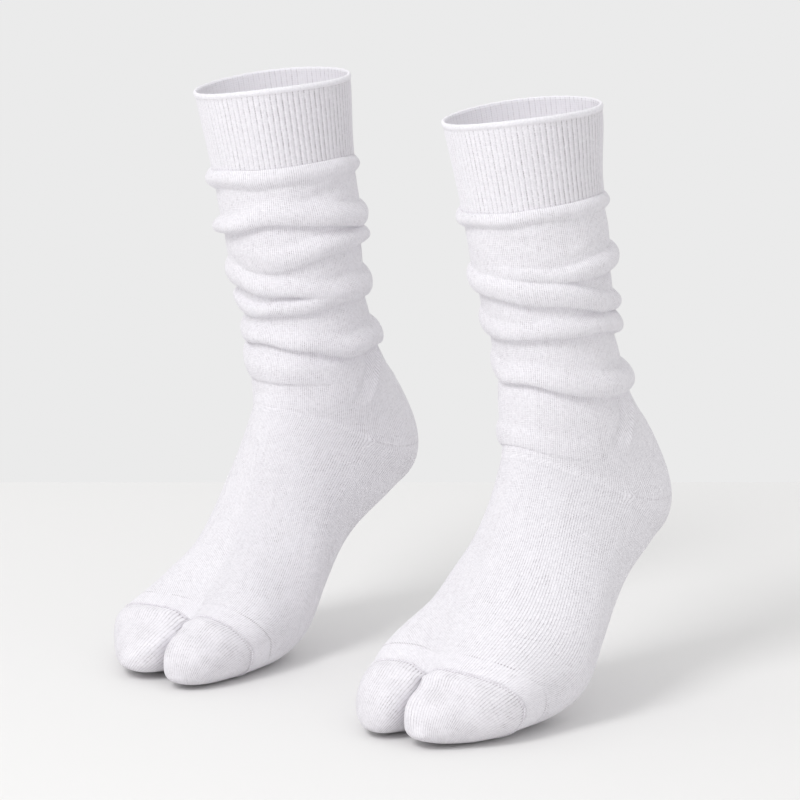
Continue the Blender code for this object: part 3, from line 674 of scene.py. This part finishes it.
def lobe_cloth(side, lobe, columns, pitch, course_mm):
    """A toe lobe. The root follows the toe band's edge and a straight partition beside the other lobe.

    Towards the tip the ring turns into a rounded oval, and the dome law (one less the share of the
    length to a power, then to a root) draws it in to a point, hugging the other lobe. Wales lie in planes
    that fan out from a line inside the toe, which falls ahead. The mark is the distance from the seam.
    """
    size = dict(zip(LOBE_COLUMNS, lobe))
    sign, half, height = size["sign"], size["width"] / 2, size["height"]
    angle = np.arange(columns // 2 + 1) * TURN / columns * sign
    arc = foot_skin(np.full(len(angle), knots(FOOT)[-1]), angle)
    edge_x = CROTCH_X + sign * TOE_GAP / 2
    arc[[0, -1], 0] = edge_x
    count = columns // 10
    between = np.linspace(0, 1, count + 2)[1:-1, None]
    root = np.concatenate((arc, arc[-1] + (arc[0] - arc[-1]) * between))
    corner = math.radians(LOBE_CORNER)
    turn = np.concatenate((
        np.linspace(-corner, math.pi + corner, len(arc)),
        np.linspace(math.pi + corner, TURN - corner, count + 2)[1:-1],
    ))
    t = np.linspace(0, 1, LOBE_ROWS + 1)[:-1]
    share = (1 - (1 - t) ** LOBE_CROWD)[:, None]
    dome = (1 - share ** size["blunt"]) ** (1 / DOME_ROOT)
    lower = 1 - size["drop"] * share
    sole = np.cos(turn) < 0
    inner_full = np.where(sole, size["inner_sole"], size["inner_top"])
    full = np.where(np.sin(turn) < 0, inner_full, np.where(sole, size["outer_sole"], size["outer_top"]))
    across, up = oval(turn, full)
    across, up = across[None, :] * half, up[None, :] * height / 2 * lower
    round_ring = np.stack([sign * across + 0 * share, size["slant"] * (across + half) * share, up], axis=-1)
    middle0 = np.array([edge_x + sign * half, root[:, 1].mean(), height / 2])
    blend = ease(share, 0, 0.6)[..., None]
    ring = ((root - middle0)[None] * (1 - blend) + round_ring * blend) * dome[..., None]
    middle = np.stack([
        middle0[0] - sign * half * size["hug"] * share[:, 0] ** 2,
        middle0[1] * (1 - share[:, 0]),
        (height / 2 * lower[:, 0] - size["tip_height"]) * dome[:, 0] + size["tip_height"],
    ], axis=-1)
    points = middle[:, None, :] + ring
    points[..., 2] = np.maximum(points[..., 2], 0.0)
    tip = points[-1].mean(axis=0)
    cloth = Cloth()
    index = ringed(cloth.add(sock_points(points, side)))
    tip_index = cloth.add(sock_points(tip[None], side))
    index = np.concatenate((index, np.full((1, index.shape[1]), tip_index[0])))
    grid = ringed(np.concatenate((points, np.broadcast_to(tip, (1,) + points.shape[1:]))))
    ahead = root[:, 1].mean() - grid[..., 1]
    wale = np.arctan2(grid[..., 0] - middle0[0], grid[..., 2] - WALE_AXIS_Z + WALE_AXIS_FALL * ahead)
    wale = wale * (height - WALE_AXIS_Z) / pitch
    course = (ahead + height - grid[..., 2]) / course_mm
    cloth.lay(index, wale, course, outwards=(sign > 0) == (SIDES[side] > 0))
    seam = np.zeros(cloth.count)
    seam[index[:-1, :-1].ravel()] = np.repeat(arc_down(points), points.shape[1])
    cloth.marks = {"seam_mm": seam}
    return cloth, arc


def relax(points, corner, share, times):
    """Move each point its share of the way to the mean of its neighbours along edges, several times."""
    a = corner.ravel()
    b = np.roll(corner, -1, axis=1).ravel()
    keep = a != b
    a, b = a[keep], b[keep]
    count = np.bincount(a, minlength=len(points)) + np.bincount(b, minlength=len(points))
    for _ in range(times):
        total = np.stack([
            np.bincount(a, axis[b], len(points)) + np.bincount(b, axis[a], len(points)) for axis in points.T
        ], axis=-1)
        points = points + (total / count[:, None] - points) * share[:, None]
    return points


class Wire:
    """A shader value that can be written in sums. Each operator adds its Math node."""

    def __init__(self, paint, socket):
        self.paint, self.socket = paint, socket

    def math_node(self, operation, *others):
        inputs = dict(enumerate((self, *others)))
        return self.paint.node("ShaderNodeMath", {"operation": operation}, inputs)

    __add__ = __radd__ = partialmethod(math_node, "ADD")
    __mul__ = __rmul__ = partialmethod(math_node, "MULTIPLY")
    __sub__ = partialmethod(math_node, "SUBTRACT")
    __pow__ = partialmethod(math_node, "POWER")
    cos = partialmethod(math_node, "COSINE")
    sin = partialmethod(math_node, "SINE")
    abs = partialmethod(math_node, "ABSOLUTE")
    fract = partialmethod(math_node, "FRACT")
    floor = partialmethod(math_node, "FLOOR")

    def __rsub__(self, other):
        return self.paint.node("ShaderNodeMath", {"operation": "SUBTRACT"}, {0: other, 1: self})

    def limit(self):
        return self.paint.node("ShaderNodeClamp", {}, {0: self})

    def ease(self, low, high):
        """0 to 1 smoothly as the value goes from low to high."""
        inputs = {0: self, 1: low, 2: high, 3: 0.0, 4: 1.0}
        return self.paint.node("ShaderNodeMapRange", {"interpolation_type": "SMOOTHSTEP"}, inputs)


class Paint:
    """A material being made: its nodes come from one method."""

    def __init__(self, name):
        self.material = bpy.data.materials.new(name)
        self.material.use_nodes = True
        self.tree = self.material.node_tree
        self.surface = self.tree.nodes["Principled BSDF"]

    def node(self, kind, settings, inputs, output=0):
        node = self.tree.nodes.new(kind)
        for name, value in settings.items():
            setattr(node, name, value)
        for name, value in inputs.items():
            self.set(node.inputs[name], value)
        return Wire(self, node.outputs[output])

    def set(self, socket, value):
        if isinstance(value, Wire):
            self.tree.links.new(value.socket, socket)
        else:
            socket.default_value = value

    def mix(self, factor, a, b):
        return self.node("ShaderNodeMix", {"data_type": "RGBA"}, {0: factor, 6: a, 7: b}, output=2)

    def noise(self, vector, scale, detail=2.0):
        return self.node("ShaderNodeTexNoise", {}, {"Vector": vector, "Scale": scale, "Detail": detail})

    def random(self, a, b):
        """A value from 0 to 1 that is a different one for each pair of whole numbers."""
        pair = {"Vector": self.join(a, b)}
        return self.node("ShaderNodeTexWhiteNoise", {"noise_dimensions": "2D"}, pair, output="Value")

    def knit(self):
        """The wale and the course from the UV map."""
        uv = self.node("ShaderNodeUVMap", {"uv_map": "Knit"}, {})
        split = self.node("ShaderNodeSeparateXYZ", {}, {0: uv}).socket.node
        return Wire(self, split.outputs[0]), Wire(self, split.outputs[1])

    def place(self):
        return self.node("ShaderNodeTexCoord", {}, {}, output="Object")

    def mark(self, name):
        return self.node("ShaderNodeAttribute", {"attribute_name": name}, {}, output="Fac")

    def join(self, x, y, z=0.0):
        return self.node("ShaderNodeCombineXYZ", {}, {0: x, 1: y, 2: z})


def colour(values):
    return (*values, 1.0)


def waves(count, power=1.0):
    """1 at each whole number and 0 half way between: half of one plus the cosine of the turn, to a power."""
    wave = (count * TURN).cos() * 0.5 + 0.5
    return wave if power == 1.0 else wave ** power


def stocking_stitch(wale, course):
    """The height of plain knit, two slanting legs to a wale, and the painted shade in its gaps and in its
    holes.

    a is the way from the wale's middle, 0, to the gap, 1. A leg is the sine of pi a, and its slant moves
    the course's wave along by a. Holes lie in the gap, one to a course.
    """
    a = (wale.fract() - 0.5).abs() * 2.0
    leg = ((a * 0.9 + 0.05) * math.pi).sin()
    slant = waves(course + a * 0.55)
    gap = a.ease(0.45, 1.0)
    return leg * (slant * 0.6 + 0.4), gap * (slant * 0.5 + 0.5), gap * waves(course, 1.5)


def cotton(paint, height, dark, tint, colours, least, strength):
    """Matt white cotton: darkness (painted shade in the gaps and holes, and dark seam holes), white from its
    least share up by the tint, bumps and fuzz.
    """
    low, high = (colour([min(w * share, 1.0) for w in colours.white]) for share in (least, 1.1))
    light = paint.mix(tint.limit(), low, high)
    inputs = paint.surface.inputs
    # The darkness mixes in the shade colour: painted shade in the gaps, holes and rib dots, and the seams'
    # dark holes
    paint.set(inputs["Base Color"], paint.mix(dark.limit(), light, colour(colours.shade)))
    for name, value in (("Roughness", 0.95), ("Sheen Weight", 0.2), ("Sheen Roughness", 0.6)):
        inputs[name].default_value = value
    height = height + paint.noise(paint.place(), FUZZ_SCALE, 3.0) * 0.4
    settings = {"Strength": strength, "Distance": STITCH_HEIGHT, "Height": height}
    paint.set(inputs["Normal"], paint.node("ShaderNodeBump", {}, settings))
    return paint.material


def plain_knit(name, colours, extra):
    """White cotton in plain knit, with painted shade in its gaps and holes: darker in the holes at some
    stitches, and in the gaps on some wales.

    extra gives how much of the knit shows, more darkness, and more height.
    """
    paint = Paint(name)
    wale, course = paint.knit()
    sway = paint.noise(paint.place(), 300.0, 1.0) - 0.5
    wale, course = wale + sway * 0.35, course + sway * 0.9
    height, gap, hole = stocking_stitch(wale, course)
    stitch = paint.random(wale.floor(), course.floor())
    other = paint.random(wale.floor() + 0.5, course.floor())
    per_wale = paint.noise(paint.join(wale.floor() * LINE_STEP, course * 0.03), 1.0, 0.0).ease(0.35, 0.7)
    patches = paint.noise(paint.place(), 55.0, 3.0).ease(0.36, 0.64)
    calm, lines, lift = extra(paint, wale, course)
    # Painted shade in the holes, darker at some stitches and in patches; the gaps' painted shade is darker on
    # some wales
    hole_shade = hole * (stitch.ease(0.75, 1.0) * 0.8 + stitch * 0.25) * (patches * 0.4 + 0.57)
    # Painted shade in the gaps and holes, with the seams' own dark holes from extra on top
    dark = (gap * (per_wale * 0.2 + patches * 0.05 + 0.16) + hole_shade * 1.8 + 0.02) * calm + lines
    height = (height * 0.8 - hole * 0.5 + other * 0.45) * calm + lift
    return cotton(paint, height, dark, other * 0.7 + 0.25, colours, 0.97, 0.6)


def rib_knit(name, colours):
    """White cotton in single ribs. The ribs are in the mesh, and this adds their stitches and dark dots of
    painted shade.

    Two lanes make a rib. Dots of painted shade lie between lanes, and every other line of them, the furrow,
    is strong, most on the side turned from the key light, which also gets more painted shade as a whole.
    The welt has no dots, and a slanting twist instead. The inside is painted lighter, a stand-in for light
    through the knit, with fewer dark dots, and the welt is a little lighter.
    """
    paint = Paint(name)
    wale, course = paint.knit()
    wale = wale + (paint.noise(paint.place(), 160.0, 1.0) - 0.5) * 0.16
    lane = wale * 2.0
    a = (lane.fract() - 0.5).abs() * 2.0
    line = (lane + 0.5).floor()
    stitch = paint.random(line, course.floor())
    other = paint.random((wale * 4.0).floor() + 0.5, (course * 2.0).floor())
    furrow = (line * 0.5).fract() * 2.0
    deep_ribs_and_shade = paint.mark("deep_ribs_and_shade")
    # The furrow's dots of painted shade are strongest on the side turned from the key light
    strong = (paint.random(line, 0.5) * 0.4 + 0.6) * (furrow * 0.8 + 0.2) * deep_ribs_and_shade
    along = paint.noise(paint.join(line * LINE_STEP, course * 0.06), 1.0, 1.0).ease(0.32, 0.66)
    # Dots of painted shade in the gaps between lanes, one to a course
    dots = a.ease(0.42, 0.9) * (waves(course, 0.8) * 0.85 + 0.15)
    inside, welt = paint.mark("inside"), paint.mark("welt").ease(0.2, 0.9)
    ribs = 1.0 - welt * 0.9
    dark = dots * strong * (along * 0.3 + stitch * 1.1 + 0.05)
    # More painted shade all over on the side turned from the key light, and less on the inside and the welt
    dark = (dark * 0.95 + 0.03 + deep_ribs_and_shade.ease(0.84, 1.05) * 0.13) * (1.0 - inside * 0.15) * ribs
    twist = ((wale * 3.0 + course * 0.5) * TURN).cos() * welt
    sunk = (dots * strong + a * a * furrow * 0.7) * ribs
    height = ((course + a * 0.6) * TURN).cos() * 0.3 + other * 0.4 + twist * 0.5 - sunk
    # The inside is painted lighter, a stand-in for the light that comes through the knit into the cuff; the
    # welt is a little lighter too
    tint = other * 0.8 + inside * 0.7 + welt * 0.3 + 0.1
    return cotton(paint, height, dark, tint, colours, 0.94, 0.55)


def body_marks(paint, wale, course):
    """The band's calmer stitches and its back line of holes, and the gore line of the heel."""
    band, gore = paint.mark("band_mm"), paint.mark("gore_mm")
    dots = waves(wale, 1.5)
    line = 1.0 - band.abs().ease(0.2, 0.9)
    patchy = paint.noise(paint.place(), 60.0, 1.0).ease(0.4, 0.62)
    gore_line = (1.0 - gore.abs().ease(0.2, 0.9)) * waves(wale * 0.5)
    on_band = band.ease(-0.3, 0.5) * (1.0 - band.ease(60.0, 70.0))
    calm = 1.0 - on_band * 0.3
    lines = line * dots * patchy * 0.7 + gore_line * 0.26 + on_band * 0.05
    return calm, lines, on_band * 0.5 - line * 0.2 - gore_line * 0.3


def toe_marks(paint, wale, course):
    """The holes beside the toe seam, and stitches that are softer in some places."""
    seam = paint.mark("seam_mm")
    line = (1.0 - (seam - 1.5).abs().ease(0.2, 0.7)) * waves(wale, 1.5)
    soft = paint.noise(paint.place(), 90.0, 2.0).ease(0.35, 0.65)
    return soft * 0.4 + 0.68, line * 0.4 + 0.1, line * -0.2


def thread_marks(paint, wale, course):
    """Little of the knit shows on the thread."""
    return 0.6, ((course + 0.5) * TURN).cos() * 0.12 + 0.12, 0.0


def stitch_chain(side, arc, pitch, radius):
    """The linking stitches on a toe seam: a tube along the seam whose radius swells once for each stitch."""
    step = np.linalg.norm(np.diff(arc, axis=0), axis=1)
    at = np.concatenate(([0.0], np.cumsum(step)))
    count = int(at[-1] / pitch)
    s = np.linspace(0, at[-1], count * CHAIN_POINTS + 1)
    line = np.stack([np.interp(s, at, arc[:, i]) for i in range(3)], axis=-1)
    ahead = unit(np.gradient(line, axis=0))
    middle = arc.mean(axis=0)
    out = line - middle
    out[:, 1] = 0
    out = unit(out - (out * ahead).sum(axis=1, keepdims=True) * ahead)
    other = np.cross(ahead, out)
    turn = np.arange(CHAIN_POINTS) * TURN / CHAIN_POINTS
    swell = radius * (0.4 + 0.6 * np.abs(np.sin(np.pi * s / pitch)))
    swell[[0, -1]] = 0.02
    centre = line + out * 0.2
    points = centre[:, None] + swell[:, None, None] * (
        np.cos(turn)[None, :, None] * out[:, None] * 0.9 + np.sin(turn)[None, :, None] * other[:, None] * 1.1
    )
    points[..., 2] = np.maximum(points[..., 2], 0.02)
    cloth = Cloth()
    index = ringed(cloth.add(sock_points(points, side)))
    across = np.arange(CHAIN_POINTS + 1)[None, :] / CHAIN_POINTS
    cloth.lay(index, across, (s / pitch)[:, None], outwards=False)
    for row, flip in ((index[0], True), (index[-1], False)):
        centre_index = cloth.add(sock_points(points[0 if flip else -1].mean(axis=0)[None], side))
        fan = np.stack([row, np.full(len(row), centre_index[0])])
        cloth.lay(fan, across, np.array([[0.0], [1.0]]), outwards=flip)
    return cloth


COLOUR = {"subtype": "COLOR", "size": 3, "min": 0.0, "max": 1.0}


class KnitSizes(bpy.types.PropertyGroup):
    ribs: IntProperty(name="Ribs", description="Single ribs round a cuff", default=84, min=20, max=160)
    wales: IntProperty(name="Wales", description="Wales round a leg or foot", default=210, min=60, max=400)
    course: FloatProperty(
        name="Course", description="Height of a course in millimetres", default=1.1, min=0.5, max=4.0
    )
    wall: FloatProperty(
        name="Wall", description="Thickness of the knit", default=0.0016, min=0.0005, max=0.004,
        subtype="DISTANCE", unit="LENGTH",
    )
    rib_depth: FloatProperty(
        name="Rib depth", description="How far ribs stand out in millimetres", default=0.18, min=0.0, max=2.0
    )
    columns: IntProperty(
        name="Columns", description="Points round the leg, a multiple of four", default=192, min=48, max=400
    )
    stitch: FloatProperty(
        name="Stitch", description="Length of a linking stitch in millimetres", default=1.7, min=0.6, max=4.0
    )


class KnitColours(bpy.types.PropertyGroup):
    white: FloatVectorProperty(
        name="White", description="The cotton's colour", default=(0.885, 0.868, 0.915), **COLOUR
    )
    # The colour of the painted shade in the knit's gaps, holes and rib dots, and of the seams' dark holes
    shade: FloatVectorProperty(
        name="Shade", description="The colour in the stitches' holes", default=(0.36, 0.32, 0.35), **COLOUR
    )


class StageSizes(bpy.types.PropertyGroup):
    key: FloatProperty(
        name="Key light", description="Power of the large soft light", default=40.0, min=0.0, max=500.0,
        subtype="POWER", unit="POWER",
    )
    sky: FloatProperty(name="Sky", description="Strength of the even light", default=0.83, min=0.0, max=4.0)
    floor: FloatVectorProperty(
        name="Floor", description="The floor's colour", default=(0.82, 0.815, 0.81), **COLOUR
    )


class SOCKS_OT_cuffs(bpy.types.Operator):
    """Knit the ribbed cuffs"""

    bl_idname = "socks.cuffs"
    bl_label = "Cuffs"

    def execute(self, context):
        sizes = context.scene.knit_sizes
        material = rib_knit("rib_knit", context.scene.knit_colours)
        for side in SIDES:
            cloth = cuff_cloth(side, sizes.ribs, sizes.wall / MM, sizes.rib_depth)
            piece = show(side + "_cuff_knit", cloth, material, [side + "_cuff"])
        return {"FINISHED"}


class SOCKS_OT_bodies(bpy.types.Operator):
    """Knit each leg, heel, foot and toe band as one skin"""

    bl_idname = "socks.bodies"
    bl_label = "Legs, heels and feet"

    def execute(self, context):
        sizes = context.scene.knit_sizes
        material = plain_knit("plain_knit", context.scene.knit_colours, body_marks)
        for side in SIDES:
            cloth = body_cloth(side, sizes.columns, sizes.wales, sizes.course)
            nodes = [side + "_" + part for part in ("leg", "heel", "foot", "toe_band")]
            piece = show(side + "_body_knit", cloth, material, nodes, sizes.wall)
        return {"FINISHED"}


class SOCKS_OT_toes(bpy.types.Operator):
    """Knit the toe lobes and the linking stitches on their seams"""

    bl_idname = "socks.toes"
    bl_label = "Toes"

    def execute(self, context):
        sizes = context.scene.knit_sizes
        material = plain_knit("toe_knit", context.scene.knit_colours, toe_marks)
        thread = plain_knit("linking_thread", context.scene.knit_colours, thread_marks)
        for side in SIDES:
            for lobe in LOBES:
                name = side + "_" + lobe[0]
                cloth, arc = lobe_cloth(side, lobe, sizes.columns, TOE_WALE, sizes.course)
                piece = show(name + "_knit", cloth, material, [name], sizes.wall)
                chain = stitch_chain(side, arc[2:-2], sizes.stitch, CHAIN_RADIUS)
                seam = show(name + "_seam", chain, thread)
        return {"FINISHED"}


class SOCKS_OT_stage(bpy.types.Operator):
    """Lay the floor and set the light and the camera"""

    bl_idname = "socks.stage"
    bl_label = "Floor, light and camera"

    def execute(self, context):
        stage = context.scene.stage_sizes
        azimuth, pitch = math.radians(VIEW_TURN), math.radians(VIEW_DROP)
        right = np.array([math.cos(azimuth), math.sin(azimuth), 0.0])
        level = np.array([-math.sin(azimuth), math.cos(azimuth), 0.0])
        ahead = np.array([level[0] * math.cos(pitch), level[1] * math.cos(pitch), -math.sin(pitch)])
        target = (np.array(VIEW_TARGET) - ORIGIN) * MM
        camera = place_object("camera", bpy.data.cameras.new("camera"))
        camera.data.lens, camera.data.sensor_width = LENS, SENSOR
        camera.data.clip_start, camera.data.clip_end = 0.1, 30.0
        camera.location = target - ahead * VIEW_DISTANCE
        camera.rotation_euler = (math.pi / 2 - pitch, 0.0, azimuth)
        context.scene.camera = camera

        ground = np.array([*target[:2], -ORIGIN[2] * MM - FLOOR_GAP])
        near, far = ground + level * FLOOR_NEAR, ground + level * FLOOR_FAR
        aside = right * FLOOR_WIDE
        mesh = bpy.data.meshes.new("floor")
        mesh.from_pydata([near - aside, near + aside, far + aside, far - aside], [], [(0, 1, 2, 3)])
        paint = Paint("floor")
        paint.surface.inputs["Base Color"].default_value = colour(stage.floor)
        paint.surface.inputs["Roughness"].default_value = 0.7
        mesh.materials.append(paint.material)
        floor = place_object("floor", mesh)

        light = place_object("key", bpy.data.lights.new("key", "AREA"))
        light.data.shape, light.data.size, light.data.energy = "DISK", KEY_SIZE, stage.key
        left, before, above = KEY_PLACE
        light.location = place = target - right * left - level * before + np.array([0, 0, above])
        aim = unit(target - place)
        light.rotation_euler = (math.acos(-aim[2]), 0.0, math.atan2(aim[1], aim[0]) - math.pi / 2)
        world = bpy.data.worlds.new("studio")
        world.use_nodes = True
        sky = world.node_tree.nodes["Background"].inputs
        sky["Color"].default_value = colour((1.0, 1.0, 1.0))
        sky["Strength"].default_value = stage.sky
        context.scene.world = world
        context.scene.view_settings.view_transform = "Standard"
        return {"FINISHED"}


class SOCKS_PT_panel(bpy.types.Panel):
    """The sizes and colours of the socks"""

    bl_label = "Tabi socks"
    bl_space_type = "VIEW_3D"
    bl_region_type = "UI"
    bl_category = "Socks"

    def draw(self, context):
        for name, group in GROUPS.items():
            for size in group.__annotations__:
                self.layout.prop(getattr(context.scene, name), size)
        for operator in OPERATORS:
            self.layout.operator(operator.bl_idname)


GROUPS = {"knit_sizes": KnitSizes, "knit_colours": KnitColours, "stage_sizes": StageSizes}
OPERATORS = (SOCKS_OT_cuffs, SOCKS_OT_bodies, SOCKS_OT_toes, SOCKS_OT_stage)
CLASSES = (*GROUPS.values(), *OPERATORS, SOCKS_PT_panel)


def register():
    for item in CLASSES:
        bpy.utils.register_class(item)
    for name, group in GROUPS.items():
        setattr(bpy.types.Scene, name, bpy.props.PointerProperty(type=group))


def unregister():
    for name in GROUPS:
        delattr(bpy.types.Scene, name)
    for item in reversed(CLASSES):
        bpy.utils.unregister_class(item)


def main():
    register()
    for operator in OPERATORS:
        family, name = operator.bl_idname.split(".")
        getattr(getattr(bpy.ops, family), name)()


if __name__ == "__main__":
    main()
